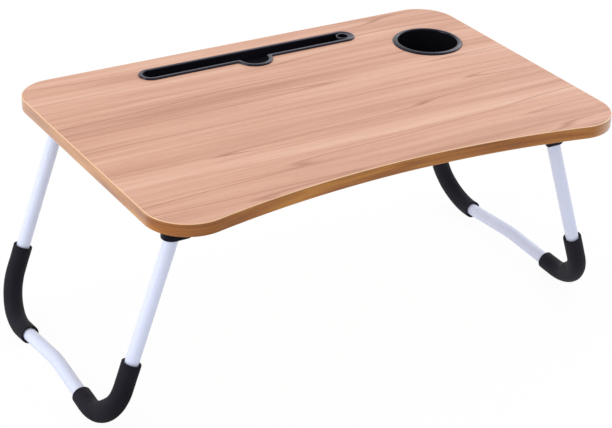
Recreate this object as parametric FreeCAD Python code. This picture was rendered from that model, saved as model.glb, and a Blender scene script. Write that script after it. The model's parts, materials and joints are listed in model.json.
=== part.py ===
import FreeCAD, Part
import math
import os

# Folding bed tray table.  Millimetres and degrees.
# Origin: on the floor, under the middle of the board.  +X along the board's length,
# +Y towards the rear edge (the edge with the slot), +Z up.

V = FreeCAD.Vector
X_AXIS = V(1, 0, 0)
Y_AXIS = V(0, 1, 0)
Z_AXIS = V(0, 0, 1)

# ---------------------------------------------------------------- driving dimensions
# Whole table
TABLE_HEIGHT = 286.0          # floor to the writing surface
BOARD_LENGTH = 600.0
BOARD_DEPTH = 400.0
REAR_CORNER_RADIUS = 47.0
FRONT_CORNER_RADIUS = 50.0
FRONT_EDGE_INSET = 26.0       # how far the user's edge curves in at its middle

# Board layers
CORE_THICKNESS = 14.2
SHEET_THICKNESS = 0.4         # decor sheet on each face
EDGE_BAND_THICKNESS = 1.0
EDGE_BAND_ROUND = 0.7

# Tablet slot tray
SLOT_LEFT_X = -152.5
SLOT_RIGHT_X = 147.5
SLOT_REAR_MARGIN = 44.0       # rear edge to the slot's centre line
SLOT_FLANGE_HALF_WIDTH = 15.2
SLOT_FLANGE_HEIGHT = 1.6
SLOT_FLANGE_ROUND = 0.7
SLOT_GROOVE_HALF_WIDTH = 10.4
SLOT_GROOVE_DEPTH = 11.2
SLOT_WALL = 1.5
NOTCH_X = -3.0                # finger notch on the slot's front side
NOTCH_OFFSET = 12.0           # its centre, forward of the slot's centre line
NOTCH_FLANGE_RADIUS = 23.0
NOTCH_GROOVE_RADIUS = 18.2
NOTCH_BLEND = 3.0
PEN_WELL_RADIUS = 6.8
PEN_WELL_WALL = 1.6

# Cup holder
CUP_END_MARGIN = 80.0         # right end of the board to the cup's centre
CUP_BRACKET_GAP = 25.0        # cup's wall to the rear hinge bracket
CUP_BORE_RADIUS = 37.5
CUP_WALL = 1.8
CUP_DEPTH = 42.0              # from the writing surface to the cup's floor
CUP_FLOOR = 2.0
CUP_FLOOR_ROUND = 5.0
CUP_FLANGE_RADIUS = 44.2
CUP_FLANGE_HEIGHT = 2.4
CUP_MOUTH_ROUND = 1.6

# Leg frames
LEG_END_MARGIN = 52.0         # end of the board to the pivots
LEG_PIVOT_DROP = 20.0         # pivot below the underside
LEG_REAR_MARGIN = 29.5        # rear edge to the rear side tube's centre
LEG_SPLAY = 19.0              # outward lean of an open leg
LEG_HALF_WIDTH = 147.0        # centre of side tube from the frame's middle
TUBE_RADIUS = 8.0
TUBE_WALL = 1.0
CORNER_BEND_RADIUS = 52.0     # to the tube's centre
FOOT_BAR_RISE = 12.8          # rise of the foot bar's middle above its corners
MIDDLE_BEND_RADIUS = 110.0

# Foam sleeves
SLEEVE_RADIUS = 11.5
SLEEVE_ABOVE_BEND = 32.0
SLEEVE_BEYOND_BEND = 19.0
SLEEVE_MOUTH_RADIUS = 9.6
SLEEVE_MOUTH_DEPTH = 3.0
SLID_SLEEVE_SHIFT = 16.0      # how far the right rear sleeve has slid up its side tube

# Leg plugs
PLUG_SHOULDER = 10.0          # pivot to the tube's end, measured down the leg
PLUG_END = 30.0
PLUG_TIP_CHAMFER = 1.5
EYE_RADIUS = 7.4

# Hinge brackets
PIN_RADIUS = 2.5
PIN_HEAD_RADIUS = 4.4
PIN_HEAD_HEIGHT = 1.4
PIN_TAIL = 2.6
PIN_CHAMFER = 0.5
CLIP_RADIUS = 4.8
CLIP_THICKNESS = 0.8
BRACKET_WALL = 3.4
BRACKET_BASE = 2.4
BRACKET_DEPTH = 38.5
BRACKET_OUTBOARD = 33.0
BRACKET_INBOARD = 42.0
BRACKET_CORNER = 6.0
BRACKET_RIM_ROUND = 0.8
CHEEK_FLAT = 10.5             # flat bottom of a cheek inboard of the pivot
CHEEK_INBOARD = 24.0
CHEEK_BLEND = 4.0
OUTBOARD_SCREW = 26.5
INBOARD_SCREW = 33.5

# Screws
WOOD_SCREW_RADIUS = 1.75
WOOD_SCREW_HEAD_RADIUS = 3.6
WOOD_SCREW_LENGTH = 12.0
WOOD_SCREW_POINT = 3.0
PLUG_SCREW_RADIUS = 1.5
PLUG_SCREW_HEAD_RADIUS = 2.8
PLUG_SCREW_HEAD_HEIGHT = 1.4
PLUG_SCREW_LENGTH = 5.5
PLUG_SCREW_AT = 15.5          # down the leg from the pivot
DRIVER_SLOT_WIDTH = 0.9
DRIVER_SLOT_DEPTH = 0.8

# Clearances
FIT_GAP = 0.05                # parts that are pushed or screwed together
RUNNING_GAP = 0.05            # pin in the plug's eye
MOVING_GAP = 0.3              # moving part beside a fixed one
SIDE_GAP = 0.6                # leg between the bracket's cheeks
CUTOUT_GAP = 0.3              # moulded insert in the board

# ---------------------------------------------------------------- worked out
BOARD_THICKNESS = CORE_THICKNESS + 2 * SHEET_THICKNESS
UNDERSIDE_Z = TABLE_HEIGHT - BOARD_THICKNESS
PIVOT_Z = UNDERSIDE_Z - LEG_PIVOT_DROP
SPLAY = math.radians(LEG_SPLAY)
LEG_PIVOT_X = BOARD_LENGTH / 2 - LEG_END_MARGIN
LEG_CENTRE_Y = BOARD_DEPTH / 2 - LEG_REAR_MARGIN - LEG_HALF_WIDTH
TUBE_START = PLUG_SHOULDER + FIT_GAP
BAR_SLOPE = math.atan(FOOT_BAR_RISE / LEG_HALF_WIDTH)
LEG_REACH = (PIVOT_Z - SLEEVE_RADIUS) / math.cos(SPLAY)
BEND_CENTRE_L = LEG_REACH - CORNER_BEND_RADIUS
CORNER_L = BEND_CENTRE_L + CORNER_BEND_RADIUS * (math.tan(BAR_SLOPE) + 1 / math.cos(BAR_SLOPE))
CHEEK_INNER = TUBE_RADIUS + SIDE_GAP
CHEEK_OUTER = CHEEK_INNER + BRACKET_WALL
BRACKET_LOW_Z = LEG_PIVOT_DROP - BRACKET_DEPTH
LEANING_X = BRACKET_LOW_Z * math.tan(SPLAY) - TUBE_RADIUS / math.cos(SPLAY)
END_WALL_X = LEANING_X - MOVING_GAP + CHEEK_INNER
FRONT_Y = LEG_CENTRE_Y - LEG_HALF_WIDTH
REAR_Y = LEG_CENTRE_Y + LEG_HALF_WIDTH
SLOT_CENTRE_Y = BOARD_DEPTH / 2 - SLOT_REAR_MARGIN
NOTCH_CENTRE_Y = SLOT_CENTRE_Y - NOTCH_OFFSET
CUP_X = BOARD_LENGTH / 2 - CUP_END_MARGIN
CUP_Y = REAR_Y - CHEEK_OUTER - CUP_BRACKET_GAP - CUP_BORE_RADIUS - CUP_WALL
FAR = 400.0                   # longer than any cut has to be


def save(name, shape):
    shape.exportStep("parts/" + name + ".step")


def arc(start, middle, end):
    return Part.Arc(start, middle, end).toShape()


def line(start, end):
    return Part.LineSegment(start, end).toShape()


def prism(edges, direction):
    return Part.Face(Part.Wire(edges)).extrude(direction)


def cylinder(radius, height, base, axis):
    return Part.makeCylinder(radius, height, base, axis)


def block(low, high):
    size = high.sub(low)
    return Part.makeBox(size.x, size.y, size.z, low)


def join(shapes):
    return shapes[0].fuse(shapes[1:]).removeSplitter()


# ---------------------------------------------------------------- board
def board_outline(grow, z):
    """Plan of the board, moved out by grow, as a wire at height z."""
    half_x = BOARD_LENGTH / 2
    half_y = BOARD_DEPTH / 2
    rear_x = half_x - REAR_CORNER_RADIUS
    rear_y = half_y - REAR_CORNER_RADIUS
    front_x = half_x - FRONT_CORNER_RADIUS
    front_y = -half_y + FRONT_CORNER_RADIUS
    rear_r = REAR_CORNER_RADIUS + grow
    front_r = FRONT_CORNER_RADIUS + grow
    diagonal = math.sqrt(0.5)

    # The long concave arc is tangent to both front corner arcs.
    centres = (front_x ** 2 + FRONT_EDGE_INSET ** 2) / (2 * FRONT_EDGE_INSET)
    waist_r = centres - FRONT_CORNER_RADIUS - grow
    waist_y = -half_y + FRONT_EDGE_INSET - (centres - FRONT_CORNER_RADIUS)
    reach = math.asin(front_x / centres)
    touch_x = waist_r * math.sin(reach)
    touch_y = waist_y + waist_r * math.cos(reach)

    def at(x, y):
        return V(x, y, z)

    corner_turn = (math.pi / 2 + reach) / 2
    corner_x = front_r * math.cos(corner_turn)
    corner_y = front_r * math.sin(corner_turn)
    edges = [
        line(at(half_x + grow, front_y), at(half_x + grow, rear_y)),
        arc(at(half_x + grow, rear_y),
            at(rear_x + rear_r * diagonal, rear_y + rear_r * diagonal),
            at(rear_x, half_y + grow)),
        line(at(rear_x, half_y + grow), at(-rear_x, half_y + grow)),
        arc(at(-rear_x, half_y + grow),
            at(-rear_x - rear_r * diagonal, rear_y + rear_r * diagonal),
            at(-half_x - grow, rear_y)),
        line(at(-half_x - grow, rear_y), at(-half_x - grow, front_y)),
        arc(at(-half_x - grow, front_y),
            at(-front_x - corner_x, front_y - corner_y),
            at(-touch_x, touch_y)),
        arc(at(-touch_x, touch_y), at(0, waist_y + waist_r), at(touch_x, touch_y)),
        arc(at(touch_x, touch_y),
            at(front_x + corner_x, front_y - corner_y),
            at(half_x + grow, front_y)),
    ]
    return Part.Wire(edges)


def board_plate(grow, z, thickness):
    return Part.Face(board_outline(grow, z)).extrude(V(0, 0, thickness))


def stadium(x_low, x_high, y, radius, z, height):
    """Round-ended bar along X; x_low and x_high are its outer ends."""
    left = x_low + radius
    right = x_high - radius
    edges = [
        line(V(left, y - radius, z), V(right, y - radius, z)),
        arc(V(right, y - radius, z), V(right + radius, y, z), V(right, y + radius, z)),
        line(V(right, y + radius, z), V(left, y + radius, z)),
        arc(V(left, y + radius, z), V(left - radius, y, z), V(left, y - radius, z)),
    ]
    return prism(edges, V(0, 0, height))


def slot_plan(half_width, notch_radius, z, height):
    """Slot and finger notch together; the notch runs into the slot with blends."""
    inset = SLOT_FLANGE_HALF_WIDTH - half_width
    bar = stadium(SLOT_LEFT_X + inset, SLOT_RIGHT_X - inset, SLOT_CENTRE_Y, half_width, z, height)
    notch = cylinder(notch_radius, height, V(NOTCH_X, NOTCH_CENTRE_Y, z), Z_AXIS)
    behind = block(V(NOTCH_X - FAR, SLOT_CENTRE_Y, z), V(NOTCH_X + FAR, SLOT_CENTRE_Y + FAR, z + height))
    whole = join([bar, notch.cut(behind)])
    meeting_y = SLOT_CENTRE_Y - half_width
    blends = []
    for edge in whole.Edges:
        ends = [vertex.Point for vertex in edge.Vertexes]
        upright = len(ends) == 2 and abs(ends[0].x - ends[1].x) + abs(ends[0].y - ends[1].y) < 1e-6
        if upright and abs(ends[0].y - meeting_y) < 1e-3 and abs(ends[0].x - NOTCH_X) < notch_radius:
            blends.append(edge)
    return whole.makeFillet(NOTCH_BLEND, blends)


def slot_cutout(z, height):
    return slot_plan(SLOT_GROOVE_HALF_WIDTH + SLOT_WALL + CUTOUT_GAP,
                     NOTCH_GROOVE_RADIUS + SLOT_WALL + CUTOUT_GAP, z, height)


def cup_cutout(z, height):
    return cylinder(CUP_BORE_RADIUS + CUP_WALL + CUTOUT_GAP, height, V(CUP_X, CUP_Y, z), Z_AXIS)


def screw_places():
    """Centres of the bracket screws in plan, as (x, y)."""
    places = []
    for side in (-1, 1):
        for y in (FRONT_Y, REAR_Y):
            places.append((side * (LEG_PIVOT_X + OUTBOARD_SCREW), y))
            places.append((side * (LEG_PIVOT_X - INBOARD_SCREW), y))
    return places


def board_layer(z, thickness):
    layer = board_plate(-EDGE_BAND_THICKNESS, z, thickness)
    return layer.cut([slot_cutout(z, thickness), cup_cutout(z, thickness)])


def pilot_holes():
    depth = WOOD_SCREW_LENGTH - BRACKET_BASE + FIT_GAP
    holes = []
    for x, y in screw_places():
        holes.append(cylinder(WOOD_SCREW_RADIUS + FIT_GAP, depth, V(x, y, UNDERSIDE_Z), Z_AXIS))
    return holes


def board_core():
    return board_layer(UNDERSIDE_Z + SHEET_THICKNESS, CORE_THICKNESS).cut(pilot_holes())


def top_sheet():
    return board_layer(TABLE_HEIGHT - SHEET_THICKNESS, SHEET_THICKNESS)


def bottom_sheet():
    return board_layer(UNDERSIDE_Z, SHEET_THICKNESS).cut(pilot_holes())


def edge_band():
    outside = board_plate(0, UNDERSIDE_Z, BOARD_THICKNESS)
    rims = []
    for edge in outside.Edges:
        box = edge.BoundBox
        if box.ZLength < 1e-6:
            rims.append(edge)
    rounded = outside.makeFillet(EDGE_BAND_ROUND, rims)
    return rounded.cut(board_plate(-EDGE_BAND_THICKNESS, UNDERSIDE_Z, BOARD_THICKNESS))


# ---------------------------------------------------------------- inserts
def slot_tray():
    flange = slot_plan(SLOT_FLANGE_HALF_WIDTH, NOTCH_FLANGE_RADIUS, TABLE_HEIGHT, SLOT_FLANGE_HEIGHT)
    top_z = TABLE_HEIGHT + SLOT_FLANGE_HEIGHT
    rims = [edge for edge in flange.Edges if edge.BoundBox.ZMin > top_z - 1e-6]
    flange = flange.makeFillet(SLOT_FLANGE_ROUND, rims)

    floor_z = TABLE_HEIGHT - SLOT_GROOVE_DEPTH
    bottom_z = floor_z - SLOT_WALL
    body = slot_plan(SLOT_GROOVE_HALF_WIDTH + SLOT_WALL, NOTCH_GROOVE_RADIUS + SLOT_WALL,
                     bottom_z, TABLE_HEIGHT - bottom_z)
    tray = join([flange, body])

    open_height = top_z - floor_z
    groove = slot_plan(SLOT_GROOVE_HALF_WIDTH, NOTCH_GROOVE_RADIUS, floor_z, open_height)
    inset = SLOT_FLANGE_HALF_WIDTH - SLOT_GROOVE_HALF_WIDTH
    well_x = SLOT_RIGHT_X - inset - SLOT_GROOVE_HALF_WIDTH
    well_outer = PEN_WELL_RADIUS + PEN_WELL_WALL
    well_centre = V(well_x, SLOT_CENTRE_Y, floor_z)
    right_end = block(V(well_x, SLOT_CENTRE_Y - FAR, floor_z), V(well_x + FAR, SLOT_CENTRE_Y + FAR, top_z))
    divider = cylinder(well_outer, open_height, well_centre, Z_AXIS)
    groove = groove.cut([right_end, divider])
    pen_well = cylinder(PEN_WELL_RADIUS, open_height, well_centre, Z_AXIS)
    return tray.cut([groove, pen_well])


def cup_holder():
    """Turned section: domed flange on the board, straight wall and rounded floor."""
    bore = CUP_BORE_RADIUS
    outer = bore + CUP_WALL
    top = TABLE_HEIGHT + CUP_FLANGE_HEIGHT
    floor = TABLE_HEIGHT - CUP_DEPTH
    bottom = floor - CUP_FLOOR
    mouth = CUP_MOUTH_ROUND
    inner_round = CUP_FLOOR_ROUND
    outer_round = CUP_FLOOR_ROUND + CUP_FLOOR
    flange_low = TABLE_HEIGHT + CUP_FLANGE_HEIGHT * 0.3
    crest = (bore + mouth + CUP_FLANGE_RADIUS) / 2
    crest_z = top - CUP_FLANGE_HEIGHT * 0.15
    slant = math.sqrt(0.5)

    def at(radius, z):
        return V(radius, 0, z)

    edges = [
        line(at(0, floor), at(bore - inner_round, floor)),
        arc(at(bore - inner_round, floor),
            at(bore - inner_round * (1 - slant), floor + inner_round * (1 - slant)),
            at(bore, floor + inner_round)),
        line(at(bore, floor + inner_round), at(bore, top - mouth)),
        arc(at(bore, top - mouth), at(bore + mouth * (1 - slant), top - mouth * (1 - slant)),
            at(bore + mouth, top)),
        arc(at(bore + mouth, top), at(crest, crest_z), at(CUP_FLANGE_RADIUS, flange_low)),
        line(at(CUP_FLANGE_RADIUS, flange_low), at(CUP_FLANGE_RADIUS, TABLE_HEIGHT)),
        line(at(CUP_FLANGE_RADIUS, TABLE_HEIGHT), at(outer, TABLE_HEIGHT)),
        line(at(outer, TABLE_HEIGHT), at(outer, bottom + outer_round)),
        arc(at(outer, bottom + outer_round),
            at(outer - outer_round * (1 - slant), bottom + outer_round * (1 - slant)),
            at(outer - outer_round, bottom)),
        line(at(outer - outer_round, bottom), at(0, bottom)),
        line(at(0, bottom), at(0, floor)),
    ]
    cup = Part.Face(Part.Wire(edges)).revolve(V(0, 0, 0), Z_AXIS, 360)
    cup.translate(V(CUP_X, CUP_Y, 0))
    return cup


# ---------------------------------------------------------------- hinge hardware
# Built for a left-hand hinge with its pin through the origin: outboard is -X.
def bracket_cheek(y_low):
    """Side wall of the bracket: flat along the bottom, sloping up to the base inboard."""
    corners = [
        V(END_WALL_X, y_low, LEG_PIVOT_DROP),
        V(END_WALL_X, y_low, BRACKET_LOW_Z),
        V(CHEEK_FLAT, y_low, BRACKET_LOW_Z),
        V(CHEEK_INBOARD, y_low, LEG_PIVOT_DROP - BRACKET_BASE),
        V(CHEEK_INBOARD, y_low, LEG_PIVOT_DROP),
    ]
    edges = [line(corners[i], corners[(i + 1) % len(corners)]) for i in range(len(corners))]
    cheek = prism(edges, V(0, BRACKET_WALL, 0))
    knee = []
    for edge in cheek.Edges:
        box = edge.BoundBox
        if box.YLength > BRACKET_WALL / 2 and abs(box.XMin - CHEEK_FLAT) < 1e-6:
            knee.append(edge)
    return cheek.makeFillet(CHEEK_BLEND, knee)


def bracket_end_wall():
    """Half-round wall outboard of an open leg: the leg leans on its lower rim."""
    foot = V(END_WALL_X, 0, BRACKET_LOW_Z)
    outer = cylinder(CHEEK_OUTER, BRACKET_DEPTH, foot, Z_AXIS)
    inner = cylinder(CHEEK_INNER, BRACKET_DEPTH, foot, Z_AXIS)
    outboard_half = block(V(END_WALL_X - FAR, -FAR, -FAR), V(END_WALL_X, FAR, FAR))
    return outer.cut(inner).common(outboard_half)


def bracket_base():
    low = V(-BRACKET_OUTBOARD, -CHEEK_OUTER, LEG_PIVOT_DROP - BRACKET_BASE)
    high = V(BRACKET_INBOARD, CHEEK_OUTER, LEG_PIVOT_DROP)
    base = block(low, high)
    uprights = [edge for edge in base.Edges if edge.BoundBox.ZLength > BRACKET_BASE / 2]
    return base.makeFillet(BRACKET_CORNER, uprights)


def screw_hole(x):
    """Countersunk hole in the bracket's base, open downwards."""
    head = WOOD_SCREW_HEAD_RADIUS + FIT_GAP
    shank = WOOD_SCREW_RADIUS + FIT_GAP
    low_z = LEG_PIVOT_DROP - BRACKET_BASE
    sink = head - shank
    cone = Part.makeCone(head, shank, sink, V(x, 0, low_z), Z_AXIS)
    return cone.fuse(cylinder(shank, BRACKET_BASE, V(x, 0, low_z), Z_AXIS))


def hinge_bracket():
    shell = join([bracket_end_wall(), bracket_cheek(CHEEK_INNER), bracket_cheek(-CHEEK_OUTER)])
    rim = []
    for edge in shell.Edges:
        box = edge.BoundBox
        outside = max(abs(box.YMin), abs(box.YMax)) > CHEEK_OUTER - 1e-6
        if box.ZMax < BRACKET_LOW_Z + 1e-6 and outside:
            rim.append(edge)
    body = join([bracket_base(), shell.makeFillet(BRACKET_RIM_ROUND, rim)])
    pin_bore = cylinder(PIN_RADIUS + FIT_GAP, 2 * CHEEK_OUTER, V(0, -CHEEK_OUTER, 0), Y_AXIS)
    return body.cut([pin_bore, screw_hole(-OUTBOARD_SCREW), screw_hole(INBOARD_SCREW)])


def hinge_pin():
    """Headed pin; its plain tail takes the push-on clip."""
    shank_length = 2 * CHEEK_OUTER + PIN_TAIL
    start = V(0, -CHEEK_OUTER, 0)
    shank = cylinder(PIN_RADIUS, shank_length - PIN_CHAMFER, start, Y_AXIS)
    tip_start = V(0, shank_length - PIN_CHAMFER - CHEEK_OUTER, 0)
    tip = Part.makeCone(PIN_RADIUS, PIN_RADIUS - PIN_CHAMFER, PIN_CHAMFER, tip_start, Y_AXIS)
    ball_radius = (PIN_HEAD_RADIUS ** 2 + PIN_HEAD_HEIGHT ** 2) / (2 * PIN_HEAD_HEIGHT)
    ball = Part.makeSphere(ball_radius, V(0, -CHEEK_OUTER - PIN_HEAD_HEIGHT + ball_radius, 0))
    head = ball.common(block(V(-FAR, -FAR, -FAR), V(FAR, -CHEEK_OUTER, FAR)))
    return join([head, shank, tip])


def pin_clip():
    """Push-on spring washer that keeps the pin in."""
    start = V(0, CHEEK_OUTER, 0)
    disc = cylinder(CLIP_RADIUS, CLIP_THICKNESS, start, Y_AXIS)
    crown_start = V(0, CHEEK_OUTER + CLIP_THICKNESS, 0)
    crown = Part.makeCone(CLIP_RADIUS * 0.8, PIN_RADIUS * 1.25, CLIP_THICKNESS, crown_start, Y_AXIS)
    bore = cylinder(PIN_RADIUS + FIT_GAP, 3 * CLIP_THICKNESS, start, Y_AXIS)
    return join([disc, crown]).cut(bore)


def wood_screw():
    """Countersunk screw, head down, driven up into the board; its head face is at z = 0."""
    sink = WOOD_SCREW_HEAD_RADIUS - WOOD_SCREW_RADIUS
    head = Part.makeCone(WOOD_SCREW_HEAD_RADIUS, WOOD_SCREW_RADIUS, sink)
    shank_length = WOOD_SCREW_LENGTH - sink - WOOD_SCREW_POINT
    shank = cylinder(WOOD_SCREW_RADIUS, shank_length, V(0, 0, sink), Z_AXIS)
    point_start = V(0, 0, WOOD_SCREW_LENGTH - WOOD_SCREW_POINT)
    point = Part.makeCone(WOOD_SCREW_RADIUS, WOOD_SCREW_RADIUS * 0.2, WOOD_SCREW_POINT, point_start)
    screw = join([head, shank, point])
    arm = WOOD_SCREW_HEAD_RADIUS * 0.6
    half = DRIVER_SLOT_WIDTH / 2
    along = block(V(-arm, -half, 0), V(arm, half, DRIVER_SLOT_DEPTH))
    across = block(V(-half, -arm, 0), V(half, arm, DRIVER_SLOT_DEPTH))
    return screw.cut([along, across])


# ---------------------------------------------------------------- leg parts
# Built with the leg hanging straight down from a pivot at the origin: outboard is -X.
def leg_plug():
    """Moulded plug in the tube's end; its head is round like the tube and turns on the pin."""
    down = V(0, 0, -1)
    eye = cylinder(EYE_RADIUS, 2 * TUBE_RADIUS, V(0, -TUBE_RADIUS, 0), Y_AXIS)
    waist = block(V(-EYE_RADIUS, -TUBE_RADIUS, -EYE_RADIUS), V(EYE_RADIUS, TUBE_RADIUS, 0))
    collar = block(V(-TUBE_RADIUS, -TUBE_RADIUS, -PLUG_SHOULDER),
                   V(TUBE_RADIUS, TUBE_RADIUS, -EYE_RADIUS))
    round_bar = cylinder(TUBE_RADIUS, PLUG_SHOULDER + EYE_RADIUS, V(0, 0, EYE_RADIUS), down)
    head = join([eye, waist, collar]).common(round_bar)
    stem_radius = TUBE_RADIUS - TUBE_WALL - FIT_GAP
    stem_length = PLUG_END - PLUG_SHOULDER
    stem = cylinder(stem_radius, stem_length, V(0, 0, -PLUG_SHOULDER), down)
    tip = [edge for edge in stem.Edges if edge.BoundBox.ZMax < -PLUG_END + 1e-6]
    stem = stem.makeChamfer(PLUG_TIP_CHAMFER, tip)
    pin_bore = cylinder(PIN_RADIUS + RUNNING_GAP, 2 * TUBE_RADIUS, V(0, -TUBE_RADIUS, 0), Y_AXIS)
    return join([head, stem]).cut([pin_bore, plug_screw_hole()])


def plug_screw_hole():
    """Hole on the inboard side, through the tube's wall into the plug."""
    return cylinder(PLUG_SCREW_RADIUS + FIT_GAP, TUBE_RADIUS, V(0, 0, -PLUG_SCREW_AT), X_AXIS)


def plug_screw():
    """Short screw through the tube into the plug, from the inboard side."""
    start = V(TUBE_RADIUS, 0, -PLUG_SCREW_AT)
    shank = cylinder(PLUG_SCREW_RADIUS, PLUG_SCREW_LENGTH, start, V(-1, 0, 0))
    height = PLUG_SCREW_HEAD_HEIGHT
    ball_radius = (PLUG_SCREW_HEAD_RADIUS ** 2 + height ** 2) / (2 * height)
    ball = Part.makeSphere(ball_radius, start.sub(V(ball_radius - height, 0, 0)))
    head = ball.common(block(V(TUBE_RADIUS, -FAR, -FAR), V(FAR, FAR, FAR)))
    screw = join([head, shank])
    half = DRIVER_SLOT_WIDTH / 2
    arm = PLUG_SCREW_HEAD_RADIUS * 0.7
    inner = V(TUBE_RADIUS + height - DRIVER_SLOT_DEPTH, -arm, -PLUG_SCREW_AT - half)
    outer = V(TUBE_RADIUS + height, arm, -PLUG_SCREW_AT + half)
    return screw.cut(block(inner, outer))


def corner_bend(side):
    """Start, middle and end of the tube's bend at one bottom corner."""
    centre_y = side * (LEG_HALF_WIDTH - CORNER_BEND_RADIUS)
    turn = math.pi / 2 + BAR_SLOPE

    def at(angle):
        return V(0, centre_y + side * CORNER_BEND_RADIUS * math.cos(angle),
                 -BEND_CENTRE_L - CORNER_BEND_RADIUS * math.sin(angle))

    return at(0), at(turn / 2), at(turn)


def middle_bend():
    """Ends and crest of the shallow arch in the middle of the foot bar."""
    vertex_z = -(CORNER_L - FOOT_BAR_RISE)
    centre_z = vertex_z - MIDDLE_BEND_RADIUS / math.cos(BAR_SLOPE)
    end_y = MIDDLE_BEND_RADIUS * math.sin(BAR_SLOPE)
    end_z = centre_z + MIDDLE_BEND_RADIUS * math.cos(BAR_SLOPE)
    return V(0, -end_y, end_z), V(0, 0, centre_z + MIDDLE_BEND_RADIUS), V(0, end_y, end_z)


def frame_path(top_l):
    """Centre line of a leg frame, from one side tube's top to the other's."""
    front_start, front_middle, front_end = corner_bend(-1)
    rear_start, rear_middle, rear_end = corner_bend(1)
    arch_front, arch_crest, arch_rear = middle_bend()
    return Part.Wire([
        line(V(0, -LEG_HALF_WIDTH, -top_l), front_start),
        arc(front_start, front_middle, front_end),
        line(front_end, arch_front),
        arc(arch_front, arch_crest, arch_rear),
        line(arch_rear, rear_end),
        arc(rear_end, rear_middle, rear_start),
        line(rear_start, V(0, LEG_HALF_WIDTH, -top_l)),
    ])


def tube_along(path, radius):
    start = path.Edges[0].valueAt(path.Edges[0].FirstParameter)
    tangent = path.Edges[0].tangentAt(path.Edges[0].FirstParameter)
    section = Part.Wire([Part.makeCircle(radius, start, tangent)])
    return path.makePipeShell([section], True, False)


def leg_frame():
    path = frame_path(TUBE_START)
    tube = tube_along(path, TUBE_RADIUS).cut(tube_along(path, TUBE_RADIUS - TUBE_WALL))
    holes = []
    for y in (-LEG_HALF_WIDTH, LEG_HALF_WIDTH):
        hole = plug_screw_hole()
        hole.translate(V(0, y, 0))
        holes.append(hole)
    return tube.cut(holes)


def foam_sleeve(side, slid):
    """Foam tube over one bottom corner, with a slightly opened mouth at each end."""
    start, middle, end = corner_bend(side)
    bar_direction = V(0, -side * math.cos(BAR_SLOPE), math.sin(BAR_SLOPE))
    top = start.add(V(0, 0, SLEEVE_ABOVE_BEND + slid))
    tip = end.add(bar_direction * (SLEEVE_BEYOND_BEND - slid))
    path = Part.Wire([line(top, start), arc(start, middle, end), line(end, tip)])
    bore_radius = TUBE_RADIUS + FIT_GAP
    sleeve = tube_along(path, SLEEVE_RADIUS).cut(tube_along(path, bore_radius))
    top_mouth = Part.makeCone(SLEEVE_MOUTH_RADIUS, bore_radius, SLEEVE_MOUTH_DEPTH, top, V(0, 0, -1))
    tip_mouth = Part.makeCone(SLEEVE_MOUTH_RADIUS, bore_radius, SLEEVE_MOUTH_DEPTH, tip,
                              bar_direction * -1)
    return sleeve.cut([top_mouth, tip_mouth])


# ---------------------------------------------------------------- placing
def place_hinge(shape, side, y):
    """Set a left-hand hinge part at its pivot; side 1 turns it round for the right end."""
    placed = shape.copy()
    if side > 0:
        placed.rotate(V(0, 0, 0), Z_AXIS, 180)
    placed.translate(V(side * LEG_PIVOT_X, y, PIVOT_Z))
    return placed


def place_leg(shape, side, y):
    """Lean a leg part outwards, then set it at its pivot."""
    leaned = shape.copy()
    leaned.rotate(V(0, 0, 0), Y_AXIS, LEG_SPLAY)
    return place_hinge(leaned, side, y)


def build_board():
    save("board_core", board_core())
    save("top_sheet", top_sheet())
    save("bottom_sheet", bottom_sheet())
    save("edge_band", edge_band())
    save("slot_tray", slot_tray())
    save("cup_holder", cup_holder())


def build_hinges():
    bracket = hinge_bracket()
    pin = hinge_pin()
    clip = pin_clip()
    plug = leg_plug()
    clips = []
    for side, side_name in ((-1, "left"), (1, "right")):
        for y, row_name in ((FRONT_Y, "front"), (REAR_Y, "rear")):
            place_name = side_name + "_" + row_name
            save("hinge_bracket_" + place_name, place_hinge(bracket, side, y))
            save("hinge_pin_" + place_name, place_hinge(pin, side, y))
            save("leg_plug_" + place_name, place_leg(plug, side, y))
            clips.append(place_hinge(clip, side, y))
    save("pin_clips", Part.makeCompound(clips))


def build_screws():
    screw = wood_screw()
    screws = []
    for x, y in screw_places():
        one = screw.copy()
        one.translate(V(x, y, UNDERSIDE_Z - BRACKET_BASE))
        screws.append(one)
    save("bracket_screws", Part.makeCompound(screws))


def build_legs():
    frame = leg_frame()
    screw = plug_screw()
    for side, side_name in ((-1, "left"), (1, "right")):
        save("leg_frame_" + side_name, place_leg(frame, side, LEG_CENTRE_Y))
        screws = [place_leg(screw, side, y) for y in (FRONT_Y, REAR_Y)]
        save("plug_screws_" + side_name, Part.makeCompound(screws))
        for row, row_name in ((-1, "front"), (1, "rear")):
            place_name = side_name + "_" + row_name
            slid = SLID_SLEEVE_SHIFT if place_name == "right_rear" else 0.0
            sleeve = foam_sleeve(side * -row, slid)
            save("foam_sleeve_" + place_name, place_leg(sleeve, side, LEG_CENTRE_Y))


os.makedirs("parts", exist_ok=True)
build_board()
build_hinges()
build_screws()
build_legs()
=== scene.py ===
import json
import math

import bpy
from mathutils import Matrix, Vector


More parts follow.
